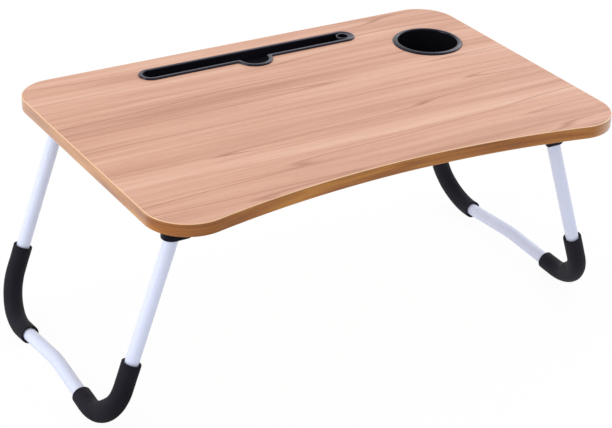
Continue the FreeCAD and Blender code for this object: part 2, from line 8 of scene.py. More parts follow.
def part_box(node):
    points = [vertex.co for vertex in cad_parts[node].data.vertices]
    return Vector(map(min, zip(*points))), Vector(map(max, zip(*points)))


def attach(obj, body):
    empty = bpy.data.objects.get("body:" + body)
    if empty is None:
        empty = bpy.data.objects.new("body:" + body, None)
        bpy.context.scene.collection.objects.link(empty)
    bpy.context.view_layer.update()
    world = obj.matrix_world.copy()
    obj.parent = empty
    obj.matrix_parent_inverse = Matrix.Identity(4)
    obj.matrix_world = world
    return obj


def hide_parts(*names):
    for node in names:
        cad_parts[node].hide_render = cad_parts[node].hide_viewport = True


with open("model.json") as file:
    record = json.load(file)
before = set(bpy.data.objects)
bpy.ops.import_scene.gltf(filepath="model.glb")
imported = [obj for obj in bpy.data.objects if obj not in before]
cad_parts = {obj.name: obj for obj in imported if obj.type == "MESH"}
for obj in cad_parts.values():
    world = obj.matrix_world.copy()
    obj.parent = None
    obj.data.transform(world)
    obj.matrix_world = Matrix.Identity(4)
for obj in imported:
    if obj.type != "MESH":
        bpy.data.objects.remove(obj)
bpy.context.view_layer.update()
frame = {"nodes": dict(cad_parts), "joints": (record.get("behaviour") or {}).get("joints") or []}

# Dressing of the folding bed tray table.  Metres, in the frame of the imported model: floor at
# z = 0, origin under the middle of the board, +X along the board, +Y towards the slot's edge.

Y_AXIS = Vector((0, 1, 0))
Z_AXIS = Vector((0, 0, 1))

# ---------------------------------------------------------------- sizes
# Board
BOARD_LOW, BOARD_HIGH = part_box("edge_band")
REAR_CORNER_RADIUS = 0.047
FRONT_CORNER_RADIUS = 0.050
FRONT_EDGE_INSET = 0.026
BAND_THICKNESS = 0.001
BAND_ROUND = 0.0007

# Slot tray
TRAY_LOW, TRAY_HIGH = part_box("slot_tray")
TRAY_HALF_WIDTH = 0.0152
TRAY_RIM_WIDTH = 0.0048
TRAY_RIM_HEIGHT = 0.00238
TRAY_RIM_CREST = 0.0027         # from the groove's edge
TRAY_RIM_INNER_FOOT = 0.00145
COVER_OVERHANG = 0.0001         # how far the rolled rim laps over the tray's flange
NOTCH_X = -0.003
NOTCH_FLANGE_RADIUS = 0.023
NOTCH_BLEND = 0.003
SLOT_Y = TRAY_HIGH.y - TRAY_HALF_WIDTH
NOTCH_Y = TRAY_LOW.y + NOTCH_FLANGE_RADIUS

# Cup
CUP_LOW, CUP_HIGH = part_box("cup_holder")
CUP_MIDDLE = (CUP_LOW + CUP_HIGH) / 2
CUP_RIM_RADIUS = (CUP_HIGH.x - CUP_LOW.x) / 2
CUP_BORE_RADIUS = 0.0375
CUP_WALL = 0.0018
CUP_FLOOR = 0.002
CUP_FLOOR_ROUND = 0.005
CUP_RIM_INNER_FOOT = 0.0003
CUP_RIM_CREST = 0.0022          # from the bore's edge

# Leg frames
PIVOTS = {joint["child"]: Vector(joint["pos_m"]) for joint in frame["joints"]}
LEG_SPLAY = math.radians(19)
LEG_HALF_WIDTH = 0.147
TUBE_RADIUS = 0.008
TUBE_WALL = 0.001
TUBE_START = 0.01005            # down the leg, from the pivot to the tube's end
CORNER_BEND_RADIUS = 0.052
MIDDLE_BEND_RADIUS = 0.110
FOOT_BAR_RISE = 0.0128
BAR_SLOPE = math.atan(FOOT_BAR_RISE / LEG_HALF_WIDTH)

# Foam sleeves
SLEEVE_RADIUS = 0.0115
SLEEVE_BORE = 0.00805
SLEEVE_ABOVE_BEND = 0.032
SLEEVE_BEYOND_BEND = 0.019
SLID_SLEEVE_SHIFT = 0.016       # how far the right rear sleeve has slid up its side tube
SLEEVE_MOUTH_RADIUS = 0.0096
SLEEVE_MOUTH_DEPTH = 0.003
SLEEVE_LIP = 0.0009
GATHER_LENGTH = 0.024           # along the sleeve, from the middle of its bend
GATHERS = {                     # height of the foam's bulge inside its bend, its creased share
    "left_front": (0.0032, 0.0),
    "left_rear": (0.0008, 0.0),
    "right_front": (0.0052, 0.3),
    "right_rear": (0.001, 0.0),
}
FOAM_SWELL = 0.0006             # height of the foam's soft lumps
SWELL_CELLS = 45.0              # lumps to the metre
SWELL_LEVEL = 0.8               # noise value at which the foam keeps its radius
BULGE_SHARPNESS = 1.0
CREASE_SHARPNESS = 7.0
BULGE_FOCUS = 2.0               # how closely the bulge keeps to the inside of the bend
CREASE_FOCUS = 4.0
NO_LIMIT = -9.0                 # below any coordinate of the table

LEG_REACH = (PIVOTS["left_leg"].z - SLEEVE_RADIUS) / math.cos(LEG_SPLAY)
BEND_CENTRE = LEG_REACH - CORNER_BEND_RADIUS
CORNER = BEND_CENTRE + CORNER_BEND_RADIUS * (math.tan(BAR_SLOPE) + 1 / math.cos(BAR_SLOPE))

# Fineness of the meshes
BEND_STEPS = 48
TUBE_STEPS_AROUND = 48
SLEEVE_STEPS_AROUND = 64
TUBE_STEP = 0.002
SLEEVE_STEP = 0.0012
BORE_STEP = 0.004
CUP_STEPS_AROUND = 128
SEAM_DISTANCE = 0.000002        # points that lie closer than this become one
SHARP_OVER = math.radians(40)


# ---------------------------------------------------------------- patterns
# Noise: cells to the metre along the three axes, detail and roughness
GRAIN_SWAY = ((3.0, 7.0, 1.0), 2.0, 0.5)
GRAIN_BANDS = ((1.3, 26.0, 1.0), 2.0, 0.5)
GRAIN_STREAKS = ((3.5, 120.0, 1.0), 4.0, 0.6)
GRAIN_CONTOURS = ((1.5, 34.0, 1.0), 1.0, 0.4)
GRAIN_PORES = ((70.0, 1500.0, 1.0), 1.0, 0.5)
BAND_WANDER = ((8.0, 90.0, 1.0), 2.0, 0.5)
BAND_STREAKS = ((7.0, 520.0, 1.0), 4.0, 0.6)
BAND_FIBRES = ((40.0, 1800.0, 1.0), 3.0, 0.6)
MOULD_CLOUDS = ((9.0, 9.0, 9.0), 3.0, 0.5)
FINE_MOULD_GRAIN = ((1600.0, 1600.0, 1600.0), 2.0, 0.6)
COARSE_MOULD_GRAIN = ((1100.0, 1100.0, 1100.0), 2.0, 0.6)
COAT_PEEL = ((420.0, 420.0, 420.0), 2.0, 0.5)
COAT_CLOUDS = ((14.0, 14.0, 14.0), 2.0, 0.5)
FOAM_RUBBED = ((35.0, 35.0, 35.0), 4.0, 0.6)
FOAM_PORES = ((900.0, 900.0, 900.0), 2.0, 0.5)
FOAM_CELLS = 1500.0             # to the metre
TARNISH_CLOUDS = ((160.0, 160.0, 160.0), 3.0, 0.6)
TURNING_MARKS = ((3000.0, 300.0, 3000.0), 2.0, 0.5)
BOARD_FIBRES = ((500.0, 500.0, 1400.0), 4.0, 0.7)
BOARD_FLECKS = ((1400.0, 900.0, 2500.0), 2.0, 0.6)

# Depths of relief
PRINT_RELIEF = 0.00004
BAND_RELIEF = 0.00003
TRAY_RELIEF = 0.000012
CUP_RELIEF = 0.000008
HINGE_RELIEF = 0.000025
COAT_RELIEF = 0.00002
FOAM_RELIEF = 0.00012
TURNING_RELIEF = 0.00002
FIBRE_RELIEF = 0.0001
MOULD_EDGE_ROUND = 0.0006

# Roughness, from the low parts of a pattern to its high parts
PRINT_ROUGHNESS = (0.5, 0.4)
BAND_ROUGHNESS = (0.46, 0.36)
COAT_ROUGHNESS = (0.3, 0.38)
FOAM_ROUGHNESS = (0.7, 0.84)
FIBRE_ROUGHNESS = (0.8, 0.95)
MOULD_UNEVENNESS = (-0.05, 0.05)
METAL_UNEVENNESS = (-0.06, 0.06)

# Other measures of the finishes
NOISE_REACH = (0.3, 0.7)        # values that nearly all of a noise pattern lies between
GRAIN_SHIFT = 0.016             # how far a grain line wanders
CONTOUR_LEVEL = 0.52            # noise value that the growth lines follow
CONTOUR_WIDTH = 0.016
PORE_REACH = (0.6, 0.72)
PORE_STRENGTH = 0.35
STREAK_HEIGHT = 0.4             # of a pore's depth
PRINT_SHARES = (0.5, 0.5)       # of the bands and the streaks in the tone of the print
BAND_SHARES = (0.4, 0.2, 0.4)   # of the streaks, the fibres and the wander in the band's tone
WANDER_REACH = (0.35, 0.65)
# Pale trimmed stripe on the band's rim, which also serves as a painted highlight on its rounding
BAND_TRIM_AND_PAINTED_HIGHLIGHT_FADE = (0.0012, 0.0017)    # metres round the band's section, from the board's top
# Painted shadow under the band's rim: metres round the section over which it fades, and how dark it
# is
PAINTED_UNDER_RIM_SHADOW_FADE = (0.0018, 0.003)
PAINTED_UNDER_RIM_SHADOW_STRENGTH = 0.6
CLOUD_BRIGHTNESS = 1.5          # of the paler parts of a black moulding
FOAM_CELL_HEIGHT = 0.5          # of a pore's depth


# ---------------------------------------------------------------- node helpers
def add(tree, kind, values=(), **settings):
    """A node with its settings made and its inputs filled: sockets are linked, numbers set."""
    made = tree.nodes.new(kind)
    for name, value in settings.items():
        setattr(made, name, value)
    for name, value in dict(values).items():
        if isinstance(value, bpy.types.NodeSocket):
            tree.links.new(value, made.inputs[name])
        else:
            made.inputs[name].default_value = value
    return made


def maths(tree, operation, *terms):
    return add(tree, "ShaderNodeMath", enumerate(terms), operation=operation).outputs[0]


def vectors(tree, operation, *terms):
    return add(tree, "ShaderNodeVectorMath", enumerate(terms), operation=operation).outputs[0]


def scaled(tree, vector, factor):
    values = {"Vector": vector, "Scale": factor}
    return add(tree, "ShaderNodeVectorMath", values, operation="SCALE").outputs[0]


def colour(red, green, blue):
    """A colour from its 0 to 255 screen values, as the linear colour that a shader takes."""
    linear = []
    for value in (red, green, blue):
        share = value / 255
        linear.append(share / 12.92 if share <= 0.04045 else ((share + 0.055) / 1.055) ** 2.4)
    return (*linear, 1.0)


# ---------------------------------------------------------------- finishes
def new_finish(name):
    material = bpy.data.materials.new(name)
    material.use_nodes = True
    tree = material.node_tree
    return material, tree, tree.nodes["Principled BSDF"]


def own_place(tree):
    """Position on the piece itself, in metres."""
    return add(tree, "ShaderNodeTexCoord").outputs["Object"]


def band_place(tree):
    """Metres along the swept piece and metres round its section."""
    return add(tree, "ShaderNodeUVMap", uv_map="UVMap").outputs["UV"]


def stretched(tree, place, stretch):
    return add(tree, "ShaderNodeMapping", {"Vector": place, "Scale": stretch}).outputs[0]


def noise(tree, place, pattern, seed):
    """One of the noise patterns above."""
    cells, detail, roughness = pattern
    values = {
        "Vector": stretched(tree, place, cells),
        "W": seed,
        "Scale": 1.0,
        "Detail": detail,
        "Roughness": roughness,
    }
    return add(tree, "ShaderNodeTexNoise", values, noise_dimensions="4D").outputs[0]


def spread(tree, value, low, high, to_low=0.0, to_high=1.0):
    """The value with low made to_low and high made to_high, and kept between them."""
    values = {"Value": value, "From Min": low, "From Max": high,
              "To Min": to_low, "To Max": to_high}
    return add(tree, "ShaderNodeMapRange", values).outputs[0]


def ramp(tree, factor, stops):
    """Colour that passes through the stops, each (place from 0 to 1, colour)."""
    made = add(tree, "ShaderNodeValToRGB", {"Fac": factor})
    elements = made.color_ramp.elements
    elements[0].position, elements[0].color = stops[0]
    elements[1].position, elements[1].color = stops[-1]
    for place, shade in stops[1:-1]:
        elements.new(place).color = shade
    return made.outputs["Color"]


def blended(tree, factor, first, second, blend_type="MIX"):
    values = {0: factor, 6: first, 7: second}
    made = add(tree, "ShaderNodeMix", values, data_type="RGBA", blend_type=blend_type)
    return made.outputs[2]


def bumped(tree, bsdf, height, depth, strength=1.0, edge_round=0.0):
    """Relief from a height; edge_round softens the piece's sharp edges by that radius."""
    values = {"Height": height, "Distance": depth, "Strength": strength}
    if edge_round:
        softened = add(tree, "ShaderNodeBevel", {"Radius": edge_round}, samples=6)
        values["Normal"] = softened.outputs[0]
    made = add(tree, "ShaderNodeBump", values)
    tree.links.new(made.outputs["Normal"], bsdf.inputs["Normal"])


def feed(tree, bsdf, **sockets):
    """Links or sets the shader's inputs; underscores stand for the spaces in their names."""
    for name, value in sockets.items():
        socket = bsdf.inputs[name.replace("_", " ")]
        if isinstance(value, bpy.types.NodeSocket):
            tree.links.new(value, socket)
        else:
            socket.default_value = value


def grain_parts(tree, place, seed):
    """Broad bands, fine streaks, thin growth lines and pores of a straight-grained print."""
    sway = noise(tree, place, GRAIN_SWAY, seed)
    shift = maths(tree, "MULTIPLY", maths(tree, "SUBTRACT", sway, 0.5), GRAIN_SHIFT)
    shift_vector = add(tree, "ShaderNodeCombineXYZ", {"Y": shift}).outputs[0]
    swayed = vectors(tree, "ADD", place, shift_vector)
    bands = spread(tree, noise(tree, swayed, GRAIN_BANDS, seed + 1), *NOISE_REACH)
    streaks = spread(tree, noise(tree, swayed, GRAIN_STREAKS, seed + 2), *NOISE_REACH)
    contour = noise(tree, swayed, GRAIN_CONTOURS, seed + 3)
    off_line = maths(tree, "ABSOLUTE", maths(tree, "SUBTRACT", contour, CONTOUR_LEVEL))
    lines = spread(tree, off_line, 0.0, CONTOUR_WIDTH, to_low=1.0, to_high=0.0)
    pores = spread(tree, noise(tree, swayed, GRAIN_PORES, seed + 4), *PORE_REACH)
    return bands, streaks, lines, pores


def woodgrain_laminate(name, dark, middle, light, line_shade, seed):
    """Printed sheet with a straight grain along the board, in three shades of wood."""
    material, tree, bsdf = new_finish(name)
    place = own_place(tree)
    bands, streaks, lines, pores = grain_parts(tree, place, seed)
    bands_share, streaks_share = PRINT_SHARES
    tone = maths(tree, "MULTIPLY", streaks, streaks_share)
    tone = maths(tree, "MULTIPLY_ADD", bands, bands_share, tone)
    wood = ramp(tree, tone, [(0.12, dark), (0.5, middle), (0.85, light)])
    strength = maths(tree, "MULTIPLY", lines, spread(tree, streaks, 0.2, 0.8, to_low=0.25))
    lined = blended(tree, strength, wood, line_shade, "MULTIPLY")
    strength = maths(tree, "MULTIPLY", pores, PORE_STRENGTH)
    speckled = blended(tree, strength, lined, line_shade, "MULTIPLY")
    feed(tree, bsdf, Base_Color=speckled, Specular_IOR_Level=0.35)
    feed(tree, bsdf, Roughness=spread(tree, streaks, 0, 1, *PRINT_ROUGHNESS))
    height = maths(tree, "SUBTRACT", maths(tree, "MULTIPLY", streaks, STREAK_HEIGHT), pores)
    bumped(tree, bsdf, height, PRINT_RELIEF, strength=0.5)
    return material


def edge_band_finish():
    """Golden printed band, streaked along its length, with a pale trimmed rim above that also
    stands in as a painted highlight on its rounding, and a painted shadow just under that rim.
    """
    material, tree, bsdf = new_finish("golden_edge_band")
    place = band_place(tree)
    around = add(tree, "ShaderNodeSeparateXYZ", {0: place}).outputs["Y"]
    wander = spread(tree, noise(tree, place, BAND_WANDER, 11.0), *WANDER_REACH)
    streaks = spread(tree, noise(tree, place, BAND_STREAKS, 12.0), *NOISE_REACH)
    fibres = spread(tree, noise(tree, place, BAND_FIBRES, 13.0), *NOISE_REACH)
    streaks_share, fibres_share, wander_share = BAND_SHARES
    tone = maths(tree, "MULTIPLY", fibres, fibres_share)
    tone = maths(tree, "MULTIPLY_ADD", streaks, streaks_share, tone)
    tone = maths(tree, "ADD", tone, maths(tree, "MULTIPLY", wander, wander_share))
    wood = ramp(tree, tone, [(0.15, BAND_DARK), (0.5, BAND_MIDDLE), (0.9, BAND_LIGHT)])
    # Painted shadow: the print is darkened just under the rim, where shade falls
    painted_shadow_mask = spread(tree, around, *PAINTED_UNDER_RIM_SHADOW_FADE, to_low=1.0, to_high=0.0)
    shade = maths(tree, "MULTIPLY", painted_shadow_mask, PAINTED_UNDER_RIM_SHADOW_STRENGTH)
    wood_with_painted_shadow = blended(tree, shade, wood, BAND_DARK)
    # Pale rim: partly the real trimmed stripe, partly a painted highlight on the rounding
    rim = spread(tree, around, *BAND_TRIM_AND_PAINTED_HIGHLIGHT_FADE, to_low=1.0, to_high=0.0)
    feed(tree, bsdf, Base_Color=blended(tree, rim, wood_with_painted_shadow, BAND_TRIM_AND_PAINTED_HIGHLIGHT))
    feed(tree, bsdf, Roughness=spread(tree, fibres, 0, 1, *BAND_ROUGHNESS))
    feed(tree, bsdf, Specular_IOR_Level=0.8, Coat_Weight=1.0, Coat_Roughness=0.3)
    bumped(tree, bsdf, fibres, BAND_RELIEF, strength=0.6)
    return material


def moulded_black(name, shade, roughness, gloss, mould_grain, depth):
    """Black plastic with the fine grain that a spark-eroded mould leaves."""
    material, tree, bsdf = new_finish(name)
    place = own_place(tree)
    clouds = noise(tree, place, MOULD_CLOUDS, 21.0)
    grain = noise(tree, place, mould_grain, 22.0)
    lighter = tuple(min(1.0, value * CLOUD_BRIGHTNESS) for value in shade[:3]) + (1.0,)
    feed(tree, bsdf, Base_Color=blended(tree, clouds, shade, lighter))
    uneven = spread(tree, clouds, *NOISE_REACH, *MOULD_UNEVENNESS)
    rough = maths(tree, "ADD", uneven, roughness)
    feed(tree, bsdf, Roughness=rough, Specular_IOR_Level=gloss, Specular_Tint=COOL_GLINT)
    bumped(tree, bsdf, grain, depth, edge_round=MOULD_EDGE_ROUND)
    return material


def powder_coat():
    """White powder coat with a slight orange peel."""
    material, tree, bsdf = new_finish("white_powder_coat")
    place = own_place(tree)
    peel = noise(tree, place, COAT_PEEL, 31.0)
    clouds = noise(tree, place, COAT_CLOUDS, 32.0)
    feed(tree, bsdf, Base_Color=blended(tree, clouds, COAT_SHADE, COAT_LIGHT))
    rough = spread(tree, peel, *NOISE_REACH, *COAT_ROUGHNESS)
    feed(tree, bsdf, Roughness=rough, Specular_IOR_Level=0.5)
    bumped(tree, bsdf, peel, COAT_RELIEF, strength=0.3)
    return material


def foam_finish():
    """Matt closed-cell foam: fine pores, a dull skin and slightly paler rubbed areas."""
    material, tree, bsdf = new_finish("black_foam")
    place = own_place(tree)
    values = {"Vector": place, "Scale": FOAM_CELLS}
    cells = add(tree, "ShaderNodeTexVoronoi", values).outputs["Distance"]
    rubbed = noise(tree, place, FOAM_RUBBED, 41.0)
    pores = noise(tree, place, FOAM_PORES, 42.0)
    feed(tree, bsdf, Base_Color=ramp(tree, rubbed, [(0.3, FOAM_DARK), (0.7, FOAM_LIGHT)]))
    rough = spread(tree, pores, *NOISE_REACH, *FOAM_ROUGHNESS)
    feed(tree, bsdf, Roughness=rough, Specular_IOR_Level=0.25)
    feed(tree, bsdf, Sheen_Weight=0.02, Sheen_Roughness=0.5)
    height = maths(tree, "ADD", maths(tree, "MULTIPLY", cells, FOAM_CELL_HEIGHT), pores)
    bumped(tree, bsdf, height, FOAM_RELIEF, strength=0.6)
    return material


def bare_metal(name, shade, tint, roughness):
    """Plated steel with soft tarnish clouds and fine turning marks."""
    material, tree, bsdf = new_finish(name)
    place = own_place(tree)
    clouds = noise(tree, place, TARNISH_CLOUDS, 51.0)
    marks = noise(tree, place, TURNING_MARKS, 52.0)
    feed(tree, bsdf, Base_Color=blended(tree, clouds, shade, tint), Metallic=1.0)
    uneven = spread(tree, marks, *NOISE_REACH, *METAL_UNEVENNESS)
    feed(tree, bsdf, Roughness=maths(tree, "ADD", uneven, roughness))
    bumped(tree, bsdf, marks, TURNING_RELIEF, strength=0.4)
    return material


def pressed_fibreboard():
    """Raw edge of the board's core, as it shows in the cut-outs."""
    material, tree, bsdf = new_finish("pressed_fibreboard")
    place = own_place(tree)
    fibres = noise(tree, place, BOARD_FIBRES, 61.0)
    flecks = noise(tree, place, BOARD_FLECKS, 62.0)
    shade = ramp(tree, fibres, [(0.3, FIBRE_DARK), (0.7, FIBRE_LIGHT)])
    rough = spread(tree, flecks, *NOISE_REACH, *FIBRE_ROUGHNESS)
    feed(tree, bsdf, Base_Color=shade, Roughness=rough)
    bumped(tree, bsdf, flecks, FIBRE_RELIEF, strength=0.6)
    return material


GRAIN_DARK = colour(188, 137, 112)
GRAIN_MIDDLE = colour(209, 158, 134)
GRAIN_LIGHT = colour(222, 177, 153)
GRAIN_LINE = colour(204, 182, 171)
BACKING_DARK = colour(188, 160, 132)
BACKING_MIDDLE = colour(206, 180, 152)
BACKING_LIGHT = colour(220, 197, 170)
BAND_DARK = colour(128, 66, 8)
BAND_MIDDLE = colour(166, 98, 18)
BAND_LIGHT = colour(202, 138, 40)
# Colour of the pale trimmed rim, which also stands in for the highlight on its rounding
BAND_TRIM_AND_PAINTED_HIGHLIGHT = colour(232, 186, 138)
COAT_SHADE = colour(203, 210, 234)
COAT_LIGHT = colour(211, 218, 241)
FOAM_DARK = colour(15, 14, 25)
FOAM_LIGHT = colour(24, 23, 37)
INSERT_BLACK = colour(16, 15, 19)
HINGE_BLACK = colour(18, 17, 21)
COOL_GLINT = colour(222, 216, 255)
ZINC = colour(196, 198, 202)
ZINC_TARNISH = colour(214, 208, 190)
OXIDE = colour(46, 46, 50)
OXIDE_WORN = colour(70, 68, 66)
FIBRE_DARK = colour(140, 104, 70)
FIBRE_LIGHT = colour(186, 150, 110)

woodgrain = woodgrain_laminate(
    "woodgrain_print", GRAIN_DARK, GRAIN_MIDDLE, GRAIN_LIGHT, GRAIN_LINE, seed=1.0)
backing = woodgrain_laminate(
    "backing_print", BACKING_DARK, BACKING_MIDDLE, BACKING_LIGHT, GRAIN_LINE, seed=7.0)
golden_band = edge_band_finish()
tray_plastic = moulded_black(
    "tray_plastic", INSERT_BLACK, roughness=0.26, gloss=0.8,
    mould_grain=FINE_MOULD_GRAIN, depth=TRAY_RELIEF)
cup_plastic = moulded_black(
    "cup_plastic", INSERT_BLACK, roughness=0.2, gloss=0.5,
    mould_grain=FINE_MOULD_GRAIN, depth=CUP_RELIEF)
hinge_plastic = moulded_black(
    "hinge_plastic", HINGE_BLACK, roughness=0.45, gloss=0.25,
    mould_grain=COARSE_MOULD_GRAIN, depth=HINGE_RELIEF)
white_coat = powder_coat()
black_foam = foam_finish()
zinc = bare_metal("zinc_plate", ZINC, ZINC_TARNISH, roughness=0.34)
black_oxide = bare_metal("black_oxide", OXIDE, OXIDE_WORN, roughness=0.4)
fibreboard = pressed_fibreboard()


# ---------------------------------------------------------------- curves
def poly_curve(name, points, bends=None):
    """Open line through the points; a point's radius holds its bend radius, if any."""
    data = bpy.data.curves.new(name, "CURVE")
    data.dimensions = "3D"
    spline = data.splines.new("POLY")
    spline.points.add(len(points) - 1)
    for i, point in enumerate(points):
        spline.points[i].co = (*Vector(point).to_3d(), 1)
        spline.points[i].radius = bends[i] if bends else 0
    made = bpy.data.objects.new(name, data)
    bpy.context.scene.collection.objects.link(made)
    return made


def arc(centre, radius, start, end, steps):
    """Points on a flat arc from angle start to angle end, both included."""
    points = []
    for i in range(steps + 1):
        angle = start + (end - start) * i / steps
        points.append((centre[0] + radius * math.cos(angle), centre[1] + radius * math.sin(angle)))
    return points


def board_outline():
    """Plan of the board from the middle of its right side, counterclockwise and closed."""
    half_x, half_y = BOARD_HIGH.x, BOARD_HIGH.y
    rear_x, rear_y = half_x - REAR_CORNER_RADIUS, half_y - REAR_CORNER_RADIUS
    front_x, front_y = half_x - FRONT_CORNER_RADIUS, FRONT_CORNER_RADIUS - half_y
    centres = (front_x ** 2 + FRONT_EDGE_INSET ** 2) / (2 * FRONT_EDGE_INSET)
    waist_radius = centres - FRONT_CORNER_RADIUS
    waist_y = FRONT_EDGE_INSET - half_y - waist_radius
    reach = math.asin(front_x / centres)
    quarter = math.pi / 2
    points = [(half_x, 0)]
    points += arc((rear_x, rear_y), REAR_CORNER_RADIUS, 0, quarter, steps=36)
    points += arc((-rear_x, rear_y), REAR_CORNER_RADIUS, quarter, 2 * quarter, steps=36)
    points += arc((-front_x, front_y), FRONT_CORNER_RADIUS,
                  2 * quarter, 3 * quarter + reach, steps=40)
    points += arc((0, waist_y), waist_radius, quarter + reach, quarter - reach, steps=96)[1:-1]
    points += arc((front_x, front_y), FRONT_CORNER_RADIUS,
                  3 * quarter - reach, 4 * quarter, steps=40)
    return points + points[:1]


def band_section():
    """Section of the edge band, closed: x is outwards from the board's edge, y is height."""
    top, low = BOARD_HIGH.z, BOARD_LOW.z
    rim = BAND_ROUND
    points = [(-BAND_THICKNESS, top)]
    points += arc((-rim, top - rim), rim, math.pi / 2, 0, steps=6)
    points += arc((-rim, low + rim), rim, 0, -math.pi / 2, steps=6)
    points += [(-BAND_THICKNESS, low), (-BAND_THICKNESS, top)]
    return points


def slot_outline(half_width):
    """Plan of the slot and its notch at some half width, counterclockwise and closed."""
    low_x = TRAY_LOW.x + TRAY_HALF_WIDTH
    high_x = TRAY_HIGH.x - TRAY_HALF_WIDTH
    front_y = SLOT_Y - half_width
    notch_radius = NOTCH_FLANGE_RADIUS - TRAY_HALF_WIDTH + half_width
    blend_y = front_y - NOTCH_BLEND
    rise = blend_y - NOTCH_Y
    reach = math.sqrt((notch_radius + NOTCH_BLEND) ** 2 - rise ** 2)
    tilt = math.atan2(rise, reach)
    quarter = math.pi / 2
    points = arc((low_x, SLOT_Y), half_width, quarter, 3 * quarter, steps=32)
    points += arc((NOTCH_X - reach, blend_y), NOTCH_BLEND, quarter, -tilt, steps=12)
    points += arc((NOTCH_X, NOTCH_Y), notch_radius,
                  2 * quarter - tilt, 4 * quarter + tilt, steps=48)[1:-1]
    points += arc((NOTCH_X + reach, blend_y), NOTCH_BLEND, 2 * quarter + tilt, quarter, steps=12)
    points += arc((high_x, SLOT_Y), half_width, -quarter, quarter, steps=32)
    return points + points[:1]


def quarter_roll(foot, crest, fullness, steps):
    """Points up a rounded rim, from its foot to its crest; a fullness of 2 is an ellipse."""
    points = []
    for i in range(steps + 1):
        angle = math.pi / 2 * i / steps
        across = 1 - math.cos(angle) ** (2 / fullness)
        up = math.sin(angle) ** (2 / fullness)
        points.append((foot[0] + (crest[0] - foot[0]) * across,
                       foot[1] + (crest[1] - foot[1]) * up))
    return points


def tray_rim_section():
    """Closed section of the tray's rolled rim: x is the share of its width, y is height."""
    width = TRAY_RIM_WIDTH + 2 * COVER_OVERHANG
    board_top = BOARD_HIGH.z
    crest = (TRAY_RIM_CREST, board_top + TRAY_RIM_HEIGHT)
    low = board_top + COVER_OVERHANG / 4
    points = [(0, low)]
    points += quarter_roll((0, board_top + TRAY_RIM_INNER_FOOT), crest, fullness=2.0, steps=14)
    points += quarter_roll((width, low), crest, fullness=2.4, steps=16)[-2::-1]
    points += points[:1]
    return [(x / width, z) for x, z in points]


def cup_section():
    """Section of the cup from its inner floor over its rim to its underside, open at the
    axis: x is the share of the rim's radius, y is height."""
    bore, wall = CUP_BORE_RADIUS, CUP_BORE_RADIUS + CUP_WALL
    board_top, bottom = BOARD_HIGH.z, CUP_LOW.z
    floor = bottom + CUP_FLOOR
    inner, outer = CUP_FLOOR_ROUND, CUP_FLOOR_ROUND + CUP_FLOOR
    crest = (bore + CUP_RIM_CREST, CUP_HIGH.z)
    quarter = math.pi / 2
    points = [(0, floor), (bore / 2, floor)]
    points += arc((bore - inner, floor + inner), inner, -quarter, 0, steps=10)
    points += quarter_roll((bore, board_top + CUP_RIM_INNER_FOOT), crest, fullness=2.0, steps=16)
    points += quarter_roll((CUP_RIM_RADIUS, board_top), crest, fullness=1.75, steps=20)[-2::-1]
    points += [(wall, board_top)]
    points += arc((wall - outer, bottom + outer), outer, 0, -quarter, steps=10)
    points += [(bore / 2, bottom), (0, bottom)]
    return [(x / CUP_RIM_RADIUS, z) for x, z in points]


# ---------------------------------------------------------------- geometry trees
def geometry_tree(name, sizes):
    """A tree with a geometry input and the named inputs, and its input and output nodes."""
    tree = bpy.data.node_groups.new(name, "GeometryNodeTree")
    tree.interface.new_socket("Geometry", in_out="OUTPUT", socket_type="NodeSocketGeometry")
    tree.interface.new_socket("Geometry", in_out="INPUT", socket_type="NodeSocketGeometry")
    for label, kind in sizes:
        tree.interface.new_socket(label, in_out="INPUT", socket_type="NodeSocket" + kind)
    return tree, add(tree, "NodeGroupInput").outputs, add(tree, "NodeGroupOutput")


def point_count(tree, curve):
    counted = add(tree, "GeometryNodeAttributeDomainSize", {0: curve}, component="CURVE")
    return counted.outputs["Point Count"]


def at_point(tree, curve, value, index, kind="FLOAT_VECTOR"):
    values = {"Geometry": curve, "Value": value, "Index": index}
    return add(tree, "GeometryNodeSampleIndex", values, data_type=kind).outputs[0]


def woven_grid(tree, columns, rows):
    """Grid of columns by rows, with each vertex's column and row number."""
    grid = add(tree, "GeometryNodeMeshGrid", {"Vertices X": columns, "Vertices Y": rows})
    index = add(tree, "GeometryNodeInputIndex").outputs[0]
    column = maths(tree, "FLOOR", maths(tree, "DIVIDE", maths(tree, "ADD", index, 0.5), rows))
    row = maths(tree, "SUBTRACT", index, maths(tree, "MULTIPLY", column, rows))
    return grid.outputs["Mesh"], column, row


def closed_skin(tree, mesh, place, along, around, finish, output):
    """Moves the grid to its place, keeps its flat layout as a UV map, closes its seams and
    turns its faces outwards."""
    flat = add(tree, "ShaderNodeCombineXYZ", {"X": along, "Y": around}).outputs[0]
    settings = {"data_type": "FLOAT_VECTOR", "domain": "POINT"}
    flat = add(tree, "GeometryNodeFieldOnDomain", {0: flat}, **settings).outputs[0]
    values = {"Geometry": mesh, "Name": "UVMap", 3: flat}
    settings = {"data_type": "FLOAT2", "domain": "CORNER"}
    marked = add(tree, "GeometryNodeStoreNamedAttribute", values, **settings).outputs[0]
    moved = add(tree, "GeometryNodeSetPosition", {"Geometry": marked, "Position": place}).outputs[0]
    values = {"Geometry": moved, "Distance": SEAM_DISTANCE}
    merged = add(tree, "GeometryNodeMergeByDistance", values).outputs[0]
    outwards = add(tree, "GeometryNodeFlipFaces", {0: merged}).outputs[0]
    real = add(tree, "GeometryNodeRealizeInstances", {0: outwards}).outputs[0]
    values = {"Geometry": real, "Material": finish}
    painted = add(tree, "GeometryNodeSetMaterial", values).outputs[0]
    tree.links.new(painted, output.inputs[0])


